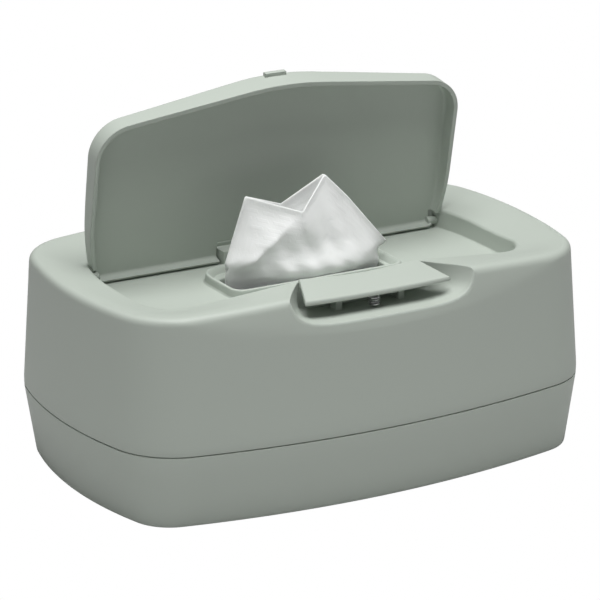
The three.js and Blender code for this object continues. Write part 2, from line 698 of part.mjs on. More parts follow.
function makeWipe() {
  // Rings from the slot up: half width left and right, middle in Y, half thickness, height.
  const levels = [
    { l: -30, r: 30, y: -2, t: 2.4, z: STACK.top + 0.4 },
    { l: -33, r: 33, y: -3, t: 3.2, z: DECK - 5 },
    { l: -35, r: 36, y: -4, t: 4.2, z: DECK + 1 },
    { l: -36, r: 37, y: -7, t: 6.0, z: DECK + 5 },
    { l: -36, r: 38, y: -6, t: 5.6, z: DECK + 13 },
    { l: -33, r: 33, y: -2.5, t: 4.4, z: DECK + 22 },
    { l: -29, r: 24, y: 0, t: 3.2, z: DECK + 30 },
  ];
  const outline = ({ l, r, y, t, z }) => {
    const n = 10;
    const points = [];
    for (let i = 0; i <= n; i += 1) {
      const f = i / n;
      points.push([l + (r - l) * f, y - t * Math.sin(Math.PI * (0.12 + 0.76 * f)), z]);
    }
    for (let i = n; i >= 0; i -= 1) {
      const f = i / n;
      points.push([l + (r - l) * f, y + t * Math.sin(Math.PI * (0.12 + 0.76 * f)), z]);
    }
    return points;
  };
  const body = solid(loft(levels.map(outline)));
  const peak = (l, r, tipX, z0, z1) =>
    solid(
      loft([
        outline({ l, r, y: 0, t: 2.6, z: z0 }),
        outline({ l: tipX - 1.2, r: tipX + 1.2, y: 4, t: 1.0, z: z1 }),
      ]),
    );
  const neck = DECK + 29;
  const leftPeak = peak(-28.5, -2, -23.5, neck, neck + 9.5);
  const rightPeak = peak(-6, 22, 12.8, neck, neck + 14);
  const wipe = body.add(leftPeak).add(rightPeak);
  return toMesh("wipe", wipe, wipeMaterial());
}

const group = new THREE.Group();
group.add(makeTray());
Object.entries(FEET).forEach(([name, place]) => group.add(makeFoot(name, place)));
group.add(makeStack());
group.add(makeCover());
group.add(makeLid());
group.add(makeHingePin());
group.add(makeLidSpring());
group.add(makePaddle());
group.add(makeButtonSpring());
group.add(makeWipe());

export default group;
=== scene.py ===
import math

import bmesh
import bpy
import numpy as np
from mathutils import Matrix, Vector


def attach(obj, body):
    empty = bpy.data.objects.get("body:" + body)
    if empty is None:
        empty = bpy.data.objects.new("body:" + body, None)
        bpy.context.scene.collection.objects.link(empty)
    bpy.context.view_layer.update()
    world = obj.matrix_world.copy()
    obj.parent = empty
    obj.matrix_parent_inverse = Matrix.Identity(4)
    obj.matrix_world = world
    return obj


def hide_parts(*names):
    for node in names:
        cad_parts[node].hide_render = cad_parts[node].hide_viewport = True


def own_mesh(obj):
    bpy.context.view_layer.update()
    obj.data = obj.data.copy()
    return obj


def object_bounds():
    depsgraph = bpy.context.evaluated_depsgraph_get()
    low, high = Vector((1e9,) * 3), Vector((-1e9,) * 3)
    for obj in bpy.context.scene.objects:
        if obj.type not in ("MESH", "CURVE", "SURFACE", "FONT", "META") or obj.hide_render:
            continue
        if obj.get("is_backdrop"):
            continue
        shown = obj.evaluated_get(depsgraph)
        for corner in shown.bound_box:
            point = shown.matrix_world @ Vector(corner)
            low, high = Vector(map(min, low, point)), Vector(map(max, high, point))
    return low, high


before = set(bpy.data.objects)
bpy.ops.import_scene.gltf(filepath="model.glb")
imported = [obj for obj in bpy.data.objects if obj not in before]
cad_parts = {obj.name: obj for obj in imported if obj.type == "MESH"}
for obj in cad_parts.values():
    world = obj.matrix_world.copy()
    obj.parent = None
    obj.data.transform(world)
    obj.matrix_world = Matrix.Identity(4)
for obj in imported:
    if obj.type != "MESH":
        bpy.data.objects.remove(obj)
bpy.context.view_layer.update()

# Tray: the lower moulded shell, in satin grey-green polypropylene with the grain of an etched
# mould. Its walls are drafted down to a rounded foot edge, its upstanding lip centres the cover,
# and four shallow dimples below hold the pads. All lengths here and below are in millimetres.
HALF_LENGTH, HALF_DEPTH = 120, 78.7
FRONT_ARC, END_ARC, CORNER = 422, 192, 32
TRAY_LOW, PARTING = 0.5, 33.9
TRAY_DRAFT, FOOT_CORNER = 5.7, 19
TRAY_FOOT_EDGE = [(0.5, 1.7), (0.53, 1.3), (0.66, 0.85), (0.9, 0.5), (1.25, 0.22), (1.7, 0.06), (2.3, 0)]
TRAY_WALL_RINGS = [(12, 0), (22, 0), (33.45, 0), (33.75, 0.1), (33.9, 0.35)]
TRAY_HOLLOW_RINGS = [(2.9, 4.9), (3.7, 3.3), (5.9, 2.7), (27, 2.4)]
LIP_INSET, LIP_THICKNESS, LIP_CHAMFER, LIP_LOW, LIP_TOP = 2.8, 1.6, 0.4, 30.0, 38.4
PAD_X, PAD_Y, DIMPLE_RADIUS, DIMPLE_TOP = 78, 42, 7.3, 2.0

plastic = bpy.data.materials.new("shell_plastic")
plastic.use_nodes = True
nt = plastic.node_tree
bsdf = nt.nodes["Principled BSDF"]
bsdf.inputs["Base Color"].default_value = (0.455, 0.500, 0.450, 1)
bsdf.inputs["Roughness"].default_value = 0.5
bsdf.inputs["IOR"].default_value = 1.46
coord = nt.nodes.new("ShaderNodeTexCoord")
grain = nt.nodes.new("ShaderNodeTexNoise")
grain.inputs["Scale"].default_value = 2600
grain.inputs["Detail"].default_value = 2
nt.links.new(coord.outputs["Object"], grain.inputs["Vector"])
edge = nt.nodes.new("ShaderNodeBevel")
edge.samples = 6
edge.inputs["Radius"].default_value = 0.0007
bump = nt.nodes.new("ShaderNodeBump")
bump.inputs["Strength"].default_value = 0.05
bump.inputs["Distance"].default_value = 0.0002
nt.links.new(grain.outputs["Fac"], bump.inputs["Height"])
nt.links.new(edge.outputs["Normal"], bump.inputs["Normal"])
nt.links.new(bump.outputs["Normal"], bsdf.inputs["Normal"])


def plan(inset, corner):
    """Plan outline of the box: long arcs front and back, flatter arcs at the ends, round corners."""
    length, depth = HALF_LENGTH - inset, HALF_DEPTH - inset
    front_arc, end_arc = FRONT_ARC - inset, END_ARC - inset
    front_centre = np.array([0, front_arc - depth])
    end_centre = np.array([length - end_arc, 0])
    # The corner's centre is as far from each arc's centre as that arc's radius less its own.
    from_front, from_end = front_arc - corner, end_arc - corner
    apart = end_centre - front_centre
    gap = np.hypot(*apart)
    along = (from_front**2 - from_end**2 + gap**2) / (2 * gap)
    across = math.sqrt(from_front**2 - along**2)
    centre = front_centre + (apart * along + np.array([-apart[1], apart[0]]) * across) / gap
    centre = np.array([abs(centre[0]), -abs(centre[1])])
    leaves_front = math.atan2(*(centre - front_centre)[::-1])
    meets_end = math.atan2(*(centre - end_centre)[::-1])
    quarter = []
    for middle, radius, start, stop, steps in (
        (front_centre, front_arc, -math.pi / 2, leaves_front, 26),
        (centre, corner, leaves_front, meets_end, 16),
        (end_centre, end_arc, meets_end, 0.0, 12),
    ):
        turn = start + (stop - start) * np.arange(steps) / steps
        quarter += list(zip(middle[0] + radius * np.cos(turn), middle[1] + radius * np.sin(turn)))
    right = quarter + [(length, 0.0)] + [(x, -y) for x, y in quarter[:0:-1]] + [(0.0, depth)]
    return np.array(right + [(-x, y) for x, y in right[-2:0:-1]])


def at(loop, z):
    """The plan loop at height z, a number or one height per point."""
    return np.column_stack([loop, np.broadcast_to(z, len(loop))])


def extruded(bm, verts, points):
    """Extrudes a closed ring of vertices to the given points and returns the new ring in order."""
    ring = set(verts)
    edges = [e for v in verts for e in v.link_edges if e.other_vert(v) in ring]
    geom = bmesh.ops.extrude_edge_only(bm, edges=list(dict.fromkeys(edges)))["geom"]
    made = {item for item in geom if isinstance(item, bmesh.types.BMVert)}
    new = [next(e.other_vert(v) for e in v.link_edges if e.other_vert(v) in made) for v in verts]
    for v, point in zip(new, points):
        v.co = point / 1000
    return new


def lofted(name, rings):
    """A closed body through rings of equally many points, with a fan of faces at each end."""
    rings = [np.asarray(ring, float) for ring in rings]
    bm = bmesh.new()
    first = bmesh.ops.create_circle(bm, segments=len(rings[0]), radius=1)["verts"]
    for v, point in zip(first, rings[0]):
        v.co = point / 1000
    last = first
    for ring in rings[1:]:
        last = extruded(bm, last, ring)
    for end, ring in ((first, rings[0]), (last, rings[-1])):
        tip = extruded(bm, end, ring)
        bmesh.ops.pointmerge(bm, verts=tip, merge_co=ring.mean(0) / 1000)
    bmesh.ops.recalc_face_normals(bm, faces=bm.faces)
    mesh = bpy.data.meshes.new(name)
    bm.to_mesh(mesh)
    bm.free()
    body = bpy.data.objects.new(name, mesh)
    bpy.context.scene.collection.objects.link(body)
    return body


def combine(target, tool, operation):
    """Cuts, joins or intersects target with tool, and removes the tool."""
    boolean = target.modifiers.new("boolean", "BOOLEAN")
    boolean.operation = operation
    boolean.solver = "MANIFOLD"
    boolean.object = tool
    evaluated = target.evaluated_get(bpy.context.evaluated_depsgraph_get())
    mesh, old = bpy.data.meshes.new_from_object(evaluated), target.data
    target.modifiers.clear()
    target.data = mesh
    bpy.data.meshes.remove(old)
    bpy.data.objects.remove(tool)


def finish_piece(body, node, rides, material, angle=32):
    """Smooth shading, material and moving body of a finished piece."""
    body.name = body.data.name = node + "_skin"
    bm = bmesh.new()
    bm.from_mesh(body.data)
    bmesh.ops.remove_doubles(bm, verts=bm.verts, dist=2e-6)
    bm.to_mesh(body.data)
    bm.free()
    body.data.shade_smooth()
    body.data.set_sharp_from_angle(angle=math.radians(angle))
    body.data.materials.clear()
    body.data.materials.append(material)
    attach(body, rides)
    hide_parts(node)


def round_plan(x, y, radius, steps):
    """Circle in plan."""
    turn = 2 * math.pi * np.arange(steps) / steps
    return np.column_stack([x + radius * np.cos(turn), y + radius * np.sin(turn)])


def tray_ring(z, extra):
    """Ring of the tray's outside at height z, moved inwards by extra."""
    up = min(max((z - TRAY_LOW) / (PARTING - TRAY_LOW), 0), 1)
    corner = FOOT_CORNER + (CORNER - FOOT_CORNER) * min(z / PARTING, 1)
    return at(plan(TRAY_DRAFT * (1 - up) + extra, corner), z)


tray = lofted("tray", [tray_ring(z, extra) for z, extra in TRAY_FOOT_EDGE + TRAY_WALL_RINGS])
lip = plan(LIP_INSET, CORNER - LIP_INSET)
lip_tip = plan(LIP_INSET + LIP_CHAMFER, CORNER - LIP_INSET - LIP_CHAMFER)
combine(tray, lofted("lip", [at(lip, LIP_LOW), at(lip, LIP_TOP), at(lip_tip, LIP_TOP + 0.5)]), "UNION")
lip_inside = plan(LIP_INSET + LIP_THICKNESS, CORNER - LIP_INSET - LIP_THICKNESS)
hollow = [tray_ring(z, extra) for z, extra in TRAY_HOLLOW_RINGS]
hollow += [at(lip_inside, PARTING - 2.5), at(lip_inside, LIP_TOP + 3.6)]
combine(tray, lofted("hollow", hollow), "DIFFERENCE")
pad_places = {
    "foot_front_left": (-PAD_X, -PAD_Y),
    "foot_front_right": (PAD_X, -PAD_Y),
    "foot_rear_left": (-PAD_X, PAD_Y),
    "foot_rear_right": (PAD_X, PAD_Y),
}
for x, y in pad_places.values():
    dimple = round_plan(x, y, DIMPLE_RADIUS, 48)
    combine(tray, lofted("dimple", [at(dimple, -1), at(dimple, DIMPLE_TOP)]), "DIFFERENCE")
finish_piece(tray, "base_tray", "base", plastic)

# Pads: four discs of soft grey rubber pressed into the tray's dimples.
# Each has a rounded rim where it meets the table.
PAD_PROFILE = [(6.4, 0), (6.8, 0.08), (6.97, 0.3), (7, 0.6), (7, 1.5), (6.8, 1.7)]

rubber = bpy.data.materials.new("foot_rubber")
rubber.use_nodes = True
bsdf = rubber.node_tree.nodes["Principled BSDF"]
bsdf.inputs["Base Color"].default_value = (0.16, 0.18, 0.16, 1)
bsdf.inputs["Roughness"].default_value = 0.85
for node, (x, y) in pad_places.items():
    pad = lofted(node, [at(round_plan(x, y, radius, 56), z) for radius, z in PAD_PROFILE])
    finish_piece(pad, node, "base", rubber)

# Cover: the upper moulded shell, in the same plastic. Its walls lean in a little, the front one
# more above a curved crease, and the rim rolls over into a shallow dished ring round the sunken
# deck. It sits over the tray's lip and lifts off to refill the box.
WALL, DECK = 2.4, 81
SKIRT_TOP, COVER_DRAFT = 37.9, 3.3
CREST, HUMP, HUMP_HALF, REAR_RISE = 93.5, 4.5, 115, 0.8
CREASE, LEAN_SLOPE, LEAN_FADE, LEAN_MOST = 79.5, 0.17, 0.00024, 6
DISH, DISH_WIDTH, DISH_HALF = 4.5, 25, 108
COVER_WALL_HEIGHTS = (37.9, 45, 52, 60, 66, 70, 73, 75, 77, 79, 80, 81.5, 83)
# The rim's roll as pairs of height below the crest and inset from the wall.
RIM_ROLL = [(-8.5, 0), (-6, 0), (-4.2, 0), (-3.0, 0), (-2.3, 0.08), (-1.6, 0.3), (-1.0, 0.65)]
RIM_ROLL += [(-0.5, 1.15), (-0.16, 1.8), (-0.02, 2.4), (-0.001, 2.8)]
RING_INSETS = (4, 5, 7, 9, 12, 15, 18, 21, 24, 27, 30)


def smooth(value):
    """Eases from 0 to 1, and stays there outside that range."""
    value = np.clip(value, 0, 1)
    return value * value * (3 - 2 * value)


def fade_to_side(x, half):
    """1 in the middle of the box and 0 from half on, as a cosine."""
    return (np.cos(np.pi * np.minimum(np.abs(x), half) / half) + 1) / 2


def frontness(y):
    """0 on the rear half of the rim and 1 on its front."""
    return smooth((-12 - y) / 30)


def crest_at(x, y):
    """Height of the crest line, humped over the latch."""
    return CREST + HUMP * fade_to_side(x, HUMP_HALF) * frontness(y) + REAR_RISE * smooth((y + 20) / 60)


def rim_at(x, y, inward):
    """Height of the dished ring at a distance inward from the crest."""
    flat = fade_to_side(x, DISH_HALF) * frontness(y)
    return crest_at(x, y) - DISH * (1 - flat) * smooth(inward / DISH_WIDTH)


def lean_at(x, z):
    """How far the front wall leans back above its crease."""
    return np.clip((z - CREASE) * LEAN_SLOPE - x * x * LEAN_FADE, 0, LEAN_MOST)


def front_share(y):
    """1 on the front wall, 0 on the ends and the rear wall."""
    return smooth((-y - 20) / 30) * (y < 0)


def cover_ring(z, extra, skin):
    """Ring of the cover's wall; z is a height, or where it is 0 or less, below the crest."""
    nominal = CREST + z if z <= 0 else z
    draft = COVER_DRAFT * min(max((nominal - SKIRT_TOP) / (CREST - SKIRT_TOP), 0), 1.2)
    loop = plan(draft + extra + skin, CORNER - min(extra + skin, 24))
    x, y = loop.T
    height = crest_at(x, y) + z - skin if z <= 0 else np.full(len(loop), float(z))
    return np.column_stack([x, y + lean_at(x, height) * front_share(y), height])


def cover_body(skin):
    """The cover without openings; a skin above 0 gives the hollow inside its wall."""
    low = [(32.3, 0)] if skin else [(34.3, 0.35), (34.45, 0.1), (34.8, 0)]
    walls = [(z, 0) for z in COVER_WALL_HEIGHTS]
    rings = [cover_ring(z, extra, skin) for z, extra in low + walls + RIM_ROLL]
    for inward in RING_INSETS:
        loop = plan(COVER_DRAFT + skin + inward, max(CORNER - inward - skin, 4))
        x, y = loop.T
        fade = 1 - smooth((inward - 4) / 22)
        loop = np.column_stack([x, y + lean_at(x, crest_at(x, y)) * front_share(y) * fade])
        rings.append(at(loop, rim_at(*loop.T, inward - 3) - skin))
    return lofted("cover", rings)


cover = cover_body(0)
inside = cover_body(WALL)

# Recess and pocket in the cover: the recess follows the closed lid's outline at a small gap and
# ends in a soft lip; the latch pocket opens through the front wall, with a rounded mouth.
# The wall runs round both, so each is taken from the hollow first, a wall thicker.
LID_HALF, LID_CORNER_Y, LEG_SLOPE = 91.6, -39.6, 0.13
APEX_ARC, LID_CORNER, LID_REAR_Y, LID_REAR_CORNER = 148.0, 17.0, 35.3, 5.5
SIDE_NARROWS_FROM, SIDE_NARROWING, NARROWING_RUN = 4.5, 3.25, 25
LID_GAP, RECESS_REAR_CORNER = 1.2, 2.2
# The recess's lip as pairs of outward offset and height from the ring's surface.
RECESS_LIP = [(0, -1.3), (0.12, -0.75), (0.4, -0.32), (0.85, -0.08), (1.5, 0.25)]
POCKET_REAR_HALF, POCKET_FRONT_Y, DIVIDER = 30.5, -70, 3.2
# The pocket's mouth as pairs of height and half width at the front wall.
POCKET_MOUTH = [(84.2, 22), (84.35, 27), (84.8, 32), (85.6, 36.3), (86.8, 39.4), (88.3, 41.6)]
POCKET_MOUTH += [(90.4, 43.3), (92.6, 44.3), (95.2, 45.2), (108, 47)]
MOUTH_ROUND, MOUTH_SHIFT, MOUTH_TOP = 1.5, 0.4, 96
# The tools that cut from above or below reach to these heights, clear of every part.
BELOW_ALL, ABOVE_ALL = 60, 120
leg_tilt = math.atan(LEG_SLOPE)
apex_half = APEX_ARC * math.sin(leg_tilt)


def leg_y(x):
    """Front edge of the closed lid on its straight legs."""
    return LID_CORNER_Y - LEG_SLOPE * (LID_HALF - x)


apex_centre_y = leg_y(0) + APEX_ARC / math.cos(leg_tilt)


def lid_front(x):
    """Front edge of the closed lid: two legs joined by an arc."""
    x = np.abs(x)
    arc = apex_centre_y - np.sqrt(APEX_ARC**2 - np.minimum(x, 60) ** 2)
    return np.where(x > apex_half, leg_y(x), arc)


def side_x(y):
    """Side edge of the lid, which narrows to the rear."""
    return LID_HALF - SIDE_NARROWING * min(max((y - SIDE_NARROWS_FROM) / NARROWING_RUN, 0), 2) ** 2


def offset(loop, distance):
    """The plan loop moved outwards."""
    along = np.roll(loop, -1, 0) - loop
    along /= np.maximum(np.linalg.norm(along, axis=1, keepdims=True), 1e-9)
    outward = np.stack([along[:, 1], -along[:, 0]], 1)
    mitre = outward + np.roll(outward, 1, 0)
    mitre /= np.linalg.norm(mitre, axis=1, keepdims=True)
    return loop + mitre * (distance / np.maximum((mitre * outward).sum(1, keepdims=True), 0.5))


def lid_plan(grow=0.0, rear_corner=LID_REAR_CORNER):
    """Plan outline of the closed lid, with its blunt point at the front."""
    half = [(x, float(lid_front(x))) for x in np.linspace(0, apex_half, 11)[:-1]]
    reach = LID_CORNER * math.tan((math.pi / 2 - leg_tilt) / 2)
    leg_end = LID_HALF - reach * math.cos(leg_tilt)
    half += [(x, leg_y(x)) for x in np.linspace(apex_half, leg_end, 13)[:-1]]
    x, y = LID_HALF - LID_CORNER, LID_CORNER_Y + reach
    for turn in np.linspace(leg_tilt - math.pi / 2, 0, 21)[:-1]:
        half.append((x + LID_CORNER * math.cos(turn), y + LID_CORNER * math.sin(turn)))
    rear = LID_REAR_Y - rear_corner
    half += [(side_x(side_y), side_y) for side_y in np.linspace(y, rear, 19)[:-1]]
    x = side_x(rear) - rear_corner
    for turn in np.linspace(0, math.pi / 2, 7)[:-1]:
        half.append((x + rear_corner * math.cos(turn), rear + rear_corner * math.sin(turn)))
    half.append((x, LID_REAR_Y))
    loop = np.array(half + [(0.0, LID_REAR_Y)] + [(-x, y) for x, y in half[:0:-1]])
    return offset(loop, grow) if grow else loop


def surface_at(loop):
    """Height of the dished ring's surface at each point of the loop."""
    rim = plan(COVER_DRAFT, CORNER)
    inward = np.array([np.min(np.hypot(*(rim - point).T)) for point in loop])
    return rim_at(*loop.T, inward - 3)


def pocket_ring(z, wide, grow):
    """Plan of the latch pocket at one height; wide is its half width at the front wall."""
    rear = min(POCKET_REAR_HALF, wide - 0.6)
    half = [(x, float(lid_front(x)) - DIVIDER + grow) for x in np.linspace(0, rear, 16)]
    start = half[-1][1]
    for run in np.linspace(0, 1, 13)[1:]:
        half.append((rear + (wide - rear) * run**0.9 + grow, start + (POCKET_FRONT_Y - start) * run))
    half += [(wide + grow, POCKET_FRONT_Y - 10), (wide + grow, POCKET_FRONT_Y - 22)]
    return at(np.array([(-x, y) for x, y in half[:0:-1]] + half)[::-1], z)


def mouth_tool():
    """Body that rounds the pocket's mouth over into the leaning front wall."""
    mouth = [(-wide, z) for z, wide in POCKET_MOUTH[:0:-1]]
    floor_z, floor_half = POCKET_MOUTH[0]
    mouth += [(x, floor_z) for x in np.linspace(-floor_half, floor_half, 13)]
    mouth += [(wide, z) for z, wide in POCKET_MOUTH[1:]]
    mouth = np.array([(x, z) for x, z in mouth if z < MOUTH_TOP])
    along = np.gradient(mouth, axis=0)
    along /= np.linalg.norm(along, axis=1, keepdims=True)
    r = MOUTH_ROUND
    turns = np.linspace(0.1, math.pi / 2 + 0.12, 12)
    section = [(r - r * math.sin(turn), r - r * math.cos(turn) - MOUTH_SHIFT) for turn in turns]
    section += [(-5, r * 1.5), (-5, -1.0), (r, -1.0)]
    rings = []
    for (x, z), (dx, dz) in zip(mouth, along):
        ring = []
        for depth, out in section:
            px, pz = x + dz * out, z - dx * out
            wall = px * px / (2 * FRONT_ARC) - HALF_DEPTH
            wall += COVER_DRAFT * (pz - SKIRT_TOP) / (CREST - SKIRT_TOP) + lean_at(px, pz)
            ring.append((px, depth + wall, pz))
        rings.append(ring)
    return lofted("mouth", rings)


tub = lid_plan(LID_GAP + WALL, RECESS_REAR_CORNER)
combine(inside, lofted("tub", [at(tub, DECK - WALL), at(tub, ABOVE_ALL)]), "DIFFERENCE")
pocket_tub = [pocket_ring(z - WALL, wide + WALL, WALL) for z, wide in POCKET_MOUTH]
combine(inside, lofted("pocket_tub", pocket_tub), "DIFFERENCE")
combine(cover, inside, "DIFFERENCE")
recess_edge = lid_plan(LID_GAP, RECESS_REAR_CORNER)
recess = [at(offset(recess_edge, grow), DECK + up) for grow, up in ((-0.8, 0), (-0.25, 0.2), (0, 0.8))]
for grow, up in RECESS_LIP:
    lip = offset(recess_edge, grow)
    recess.append(at(lip, surface_at(lip) + up))
recess.append(at(lip, ABOVE_ALL))
combine(cover, lofted("recess", recess), "DIFFERENCE")
combine(cover, lofted("pocket", [pocket_ring(z, wide, 0) for z, wide in POCKET_MOUTH]), "DIFFERENCE")
combine(cover, mouth_tool(), "DIFFERENCE")

# Slot collar: a low wall moulded on the deck round a sunken ledge, with the slot for the wipes
# in the ledge. Its corners are rounder at the rear than at the front, and all edges are soft.
COLLAR = {"cx": 0, "cy": 0.5, "half_x": 43.2, "half_y": 19.2, "rear": 14, "front": 6.5}
SLOT = {"cx": 0, "cy": -0.6, "half_x": 38, "half_y": 10.3, "rear": 5, "front": 5}
# Pairs of outward offset and height above the deck.
COLLAR_OUTSIDE = [(1.3, -0.4), (0.75, 0.25), (0.35, 0.7), (0.1, 2.9), (0, 3.5), (-0.2, 3.85), (-0.6, 4)]
COLLAR_INSIDE = [(-3.4, 1), (-2.3, 3), (-1.75, 3.65), (-1.2, 3.95), (-0.7, 4.6), (-0.7, 9)]
SLOT_EDGE = [(0, -11), (0, 0.3), (0.2, 0.75), (0.8, 1.1), (0.8, 5)]


def rounded(cx, cy, half_x, half_y, rear, front):
    """Rectangle in plan with one corner radius at the rear and one at the front."""
    points = []
    corners = ((1, 1, rear), (-1, 1, rear), (-1, -1, front), (1, -1, front))
    for i, (side, end, r) in enumerate(corners):
        x, y = cx + side * (half_x - r), cy + end * (half_y - r)
        for turn in np.linspace(i * math.pi / 2, (i + 1) * math.pi / 2, 14):
            points.append((x + r * math.cos(turn), y + r * math.sin(turn)))
    return np.array(points)


for loop, profile, operation in (
    (rounded(**COLLAR), COLLAR_OUTSIDE, "UNION"),
    (rounded(**COLLAR), COLLAR_INSIDE, "DIFFERENCE"),
    (rounded(**SLOT), SLOT_EDGE, "DIFFERENCE"),
):
    rings = [at(offset(loop, grow), DECK + up) for grow, up in profile]
    combine(cover, lofted("collar", rings), operation)

# Hinge block, bores and lugs of the cover: the block on the deck's rear edge holds the pin and
# the lid's spring, holes in the recess's side walls take the lid's stubs, and two lugs on the
# pocket's floor take the paddle's axle. The divider is low under the paddle.
HINGE_Y, HINGE_Z = 32.1, 84.5
BLOCK_HALF, BLOCK_FRONT, BLOCK_REAR, BLOCK_TOP = 24, 27.9, 37.5, 87.4
SPRING_BORE, PIN_BORE, STUB_BORE, AXLE_BORE = 2.7, 1.05, 1.9, 1.4
SPRING_BORE_HALF, PIN_BORE_HALF, SPRING_LEG_HALF, SPRING_LEG_ROOM = 18, 22, 17, 0.8
STUB_BORE_FROM, STUB_BORE_TO = 84, 97
AXLE_Y, AXLE_Z = -57.2, 89.3
LUG_INNER, LUG_OUTER, LUG_HALF_Y, LUG_LOW, LUG_RISE = 14, 17, 2.6, 83.2, 2.4
DIVIDER_CUT_HALF, DIVIDER_CUT_FRONT, DIVIDER_CUT_REAR = 30, -56, -44
TAB_NOTCH_HALF, TAB_NOTCH_REAR, TAB_NOTCH_LOW = 6.2, -49, 90.7


def brick(x0, x1, y0, y1, z0, z1):
    """A plain block."""
    x0, x1 = sorted((x0, x1))
    base = np.array([(x0, y0), (x1, y0), (x1, y1), (x0, y1)])
    return lofted("brick", [at(base, z0), at(base, z1)])


def rod(x0, x1, y, z, radius, steps=40):
    """A round bar along X."""
    x0, x1 = sorted((x0, x1))
    around = round_plan(y, z, radius, steps)
    return lofted("rod", [np.column_stack([np.full(steps, x), around]) for x in (x0, x1)])


combine(cover, brick(-BLOCK_HALF, BLOCK_HALF, BLOCK_FRONT, BLOCK_REAR, DECK - 1, BLOCK_TOP), "UNION")
for half, bore in ((SPRING_BORE_HALF, SPRING_BORE), (PIN_BORE_HALF, PIN_BORE)):
    combine(cover, rod(-half, half, HINGE_Y, HINGE_Z, bore), "DIFFERENCE")
low, high = HINGE_Z - SPRING_LEG_ROOM, HINGE_Z + SPRING_LEG_ROOM
slit = brick(-SPRING_LEG_HALF, SPRING_LEG_HALF, BLOCK_FRONT - 1, HINGE_Y - 1.5, low, high)
combine(cover, slit, "DIFFERENCE")
for side in (-1, 1):
    bore = rod(STUB_BORE_FROM * side, STUB_BORE_TO * side, HINGE_Y, HINGE_Z, STUB_BORE)
    combine(cover, bore, "DIFFERENCE")
    front, rear, top = AXLE_Y - LUG_HALF_Y, AXLE_Y + LUG_HALF_Y, AXLE_Z + LUG_RISE
    combine(cover, brick(LUG_INNER * side, LUG_OUTER * side, front, rear, LUG_LOW, top), "UNION")
    bore = rod((LUG_INNER - 1) * side, (LUG_OUTER + 1) * side, AXLE_Y, AXLE_Z, AXLE_BORE)
    combine(cover, bore, "DIFFERENCE")
for half, rear, low in (
    (DIVIDER_CUT_HALF, DIVIDER_CUT_REAR, CREST),
    (TAB_NOTCH_HALF, TAB_NOTCH_REAR, TAB_NOTCH_LOW),
):
    combine(cover, brick(-half, half, DIVIDER_CUT_FRONT, rear, low, ABOVE_ALL), "DIFFERENCE")
finish_piece(cover, "cover_shell", "cover", plastic)

# Lid: a shallow moulded tray in the same plastic, made closed and then swung open about its
# hinge. Its rear edge is a roll with two stubs that snap into the cover; the notch for the hinge
# block and the catch tab at the front are part of the moulding.
LID_OPEN_DEG, LID_WALL, LID_RIM_Z = 78.8, 1.9, 81.3
LID_REAR_TOP, LID_REAR_RISE, LID_FRONT_RISE, LID_HUMP, LID_LENGTH = 87.5, 2.0, 1.8, 3.6, 82
ROLL_RADIUS, ROLL_HALF, STUB_RADIUS, STUB_END = 3.2, 85.4, 1.8, 91.5
TAB_HALF, TAB_REACH, TAB_LOW, TAB_TOP = 5.2, 1.3, 91.4, 93.6
NOTCH_REACH = 6.4
# The lid's rounded edge as pairs of inset and height from its top.
LID_EDGE = [(0.27, -1.5), (0.33, -1.1), (0.46, -0.72), (0.68, -0.4), (0.98, -0.17), (1.35, -0.03), (1.8, 0.0)]
LID_MIDDLE = np.array([0, -8])


def lid_top(x, y):
    """Height of the closed lid's outer face."""
    forward = np.clip((HINGE_Y - y) / LID_LENGTH, 0, 1)
    rise = LID_FRONT_RISE + LID_HUMP * fade_to_side(x, DISH_HALF)
    return LID_REAR_TOP + LID_REAR_RISE * smooth(forward * 2) + rise * forward**2


def lid_body(skin):
    """The closed lid as a full body; a skin above 0 gives the hollow inside its wall."""
    outline = lid_plan()
    rings = [at(offset(outline, -skin), LID_RIM_Z - (1.5 if skin else 0))]
    for inset, drop in LID_EDGE:
        loop = offset(outline, -inset - skin)
        rings.append(at(loop, lid_top(*loop.T) - skin + drop))
    for share in np.linspace(0.95, 0.05, 18):
        inner = LID_MIDDLE + (loop - LID_MIDDLE) * share
        rings.append(at(inner, lid_top(*inner.T) - skin))
    return lofted("lid", rings)


lid = lid_body(0)
combine(lid, lid_body(LID_WALL), "DIFFERENCE")
keep = brick(-130, 130, -80, HINGE_Y - 5, BELOW_ALL, ABOVE_ALL)
combine(keep, brick(-ROLL_HALF, ROLL_HALF, -80, HINGE_Y, BELOW_ALL, ABOVE_ALL), "UNION")
combine(keep, rod(-ROLL_HALF, ROLL_HALF, HINGE_Y, HINGE_Z, ROLL_RADIUS, 64), "UNION")
combine(lid, keep, "INTERSECT")
for side in (-1, 1):
    combine(lid, rod((ROLL_HALF - 1) * side, STUB_END * side, HINGE_Y, HINGE_Z, STUB_RADIUS), "UNION")
notch = brick(-BLOCK_HALF - 1, BLOCK_HALF + 1, HINGE_Y - NOTCH_REACH, 45, BELOW_ALL, ABOVE_ALL)
combine(lid, notch, "DIFFERENCE")
tip = float(lid_front(0))
combine(lid, brick(-TAB_HALF, TAB_HALF, tip - TAB_REACH, tip + 1.4, TAB_LOW, TAB_TOP), "UNION")
hinge = Matrix.Translation((0, HINGE_Y / 1000, HINGE_Z / 1000))
swing = Matrix.Rotation(math.radians(-LID_OPEN_DEG), 4, "X")
lid.data.transform(hinge @ swing @ hinge.inverted())
finish_piece(lid, "lid", "lid", plastic)

